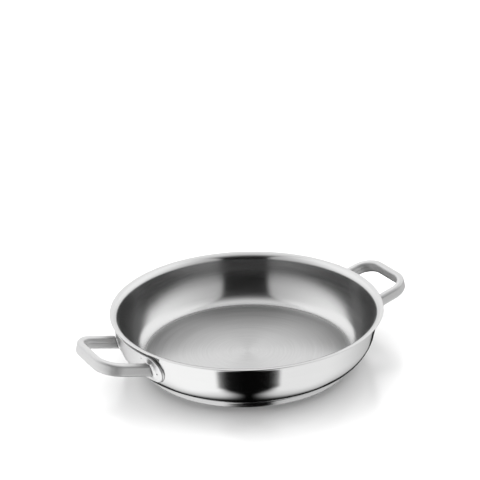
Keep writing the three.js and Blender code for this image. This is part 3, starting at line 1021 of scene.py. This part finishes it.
def upper_light(tree, ray):
    """Upper half: dim at the horizon, brighter to the sides and the back, softer overhead, dark in its gap.

    After a second bounce the gap is wider and reaches round to the back.
    """
    climb = chain(
        tree, "MAXIMUM",
        ramp(tree, ray.elevation, *CLIMB),
        ramp(tree, ray.azimuth, *SIDELONG),
        ramp(tree, ray.leftward, *LEFT_RISE),
        ramp(tree, ray.leftward, *RIGHT_RISE),
    )
    swing = ramp(tree, ray.azimuth, *SWING)
    swing = math_node(tree, "MULTIPLY", swing, ramp(tree, ray.azimuth, *BACK_DIP))
    level = blend(tree, HORIZON_LEVEL, swing, climb)
    level = blend(tree, level, CROWN_LEVEL, ramp(tree, ray.elevation, *CROWN))
    beside = math_node(tree, "MULTIPLY_ADD", ray.again, UPPER_EDGE_AGAIN, ray.sideways)
    straight_back = math_node(tree, "MULTIPLY", ray.again, ramp(tree, ray.sideways, *STRAIGHT_BACK))
    above = math_node(tree, "MULTIPLY_ADD", straight_back, UPPER_FADE_AGAIN, ray.elevation)
    outside_gap = chain(
        tree, "MAXIMUM",
        ramp(tree, beside, *UPPER_EDGE),
        ramp(tree, above, *UPPER_FADE),
        blend(tree, ramp(tree, ray.front, *BEHIND), 0.0, ray.again),
    )
    return math_node(tree, "MULTIPLY", level, outside_gap)


def lower_light(tree, ray):
    """Lower half: bright beside the camera, dimmer behind and straight down, its gap narrower downward."""
    left_fill = chain(
        tree, "MULTIPLY",
        ramp(tree, ray.leftward, *LEFT_FILL),
        ramp(tree, ray.elevation, *LEFT_FILL_TOP),
        ramp(tree, ray.elevation, *LEFT_FILL_FOOT),
    )
    level = chain(
        tree, "MAXIMUM",
        ramp(tree, ray.elevation, *SINK),
        ramp(tree, ray.azimuth, *SIDELONG),
        left_fill,
    )
    width = ramp(tree, ray.elevation, *GAP_WIDTH)
    width = math_node(tree, "SUBTRACT", width, ramp(tree, ray.elevation, *GAP_TAPER))
    beside = math_node(tree, "ADD", ray.leftward, ramp(tree, ray.elevation, *GAP_SHIFT))
    beyond = math_node(tree, "SUBTRACT", math_node(tree, "ABSOLUTE", beside), width)
    beyond = math_node(tree, "DIVIDE", beyond, ramp(tree, ray.elevation, *GAP_BLUR))
    return chain(
        tree, "MULTIPLY",
        level,
        ramp(tree, ray.azimuth, *WANE),
        ramp(tree, ray.leftward, *LEAN),
        ramp(tree, ray.elevation, *NADIR_DIP),
        ramp(tree, beyond, *LOWER_EDGE),
    )


def mirror_light(tree, ray):
    """Light for mirror-like rays: both halves, dimmer after more bounces and on its way to the floor."""
    below = ramp(tree, ray.elevation, *HORIZON)
    kept = ramp(tree, ray.leftward, *KEPT)
    kept = math_node(tree, "MULTIPLY", kept, ramp(tree, ray.elevation, *KEPT_HIGH))
    loss = blend(tree, 1.0, kept, ramp(tree, ray.elevation, *LOSS_RISE))
    return chain(
        tree, "MULTIPLY",
        blend(tree, upper_light(tree, ray), lower_light(tree, ray), below),
        blend(tree, 1.0, loss, ray.again),
        ramp(tree, ray.path["Ray Depth"], *THIRD_BOUNCE),
        ramp(tree, ray.path["Diffuse Depth"], *THROWN_LIGHT),
    )


def floor_light(tree, ray):
    """Soft light on the floor: from both sides, stronger from the left, and from above the back."""
    from_sides = math_node(tree, "POWER", ray.sideways, LIGHT_SPREAD)
    side_level = ramp(tree, ray.leftward, *SIDE_LIGHT)
    from_sides = math_node(tree, "MULTIPLY_ADD", from_sides, side_level, EVEN_LIGHT)
    from_back = math_node(tree, "MAXIMUM", ray.part_along(tree, BACK_LIGHT_FROM), 0.0)
    from_back = math_node(tree, "POWER", from_back, LIGHT_SPREAD)
    return math_node(tree, "MULTIPLY_ADD", from_back, BACK_LIGHT, from_sides)


def studio():
    """World with a white backdrop for the camera, soft light for the floor and a gapped room for metal."""
    world = bpy.data.worlds.new("studio")
    bpy.context.scene.world = world
    world.use_nodes = True
    tree = world.node_tree
    ray = Ray(tree)
    level = blend(tree, floor_light(tree, ray), mirror_light(tree, ray), ray.path["Is Glossy Ray"])
    level = blend(tree, level, BACKDROP_LEVEL, ray.path["Is Camera Ray"])
    back = tree.nodes["Background"]
    back.inputs["Color"].default_value = (1.0, 1.0, 1.0, 1.0)
    tree.links.new(level, back.inputs["Strength"])


place_camera()
pale_floor()
painted_shadow_card()
studio()
bpy.context.scene.view_settings.view_transform = "Standard"
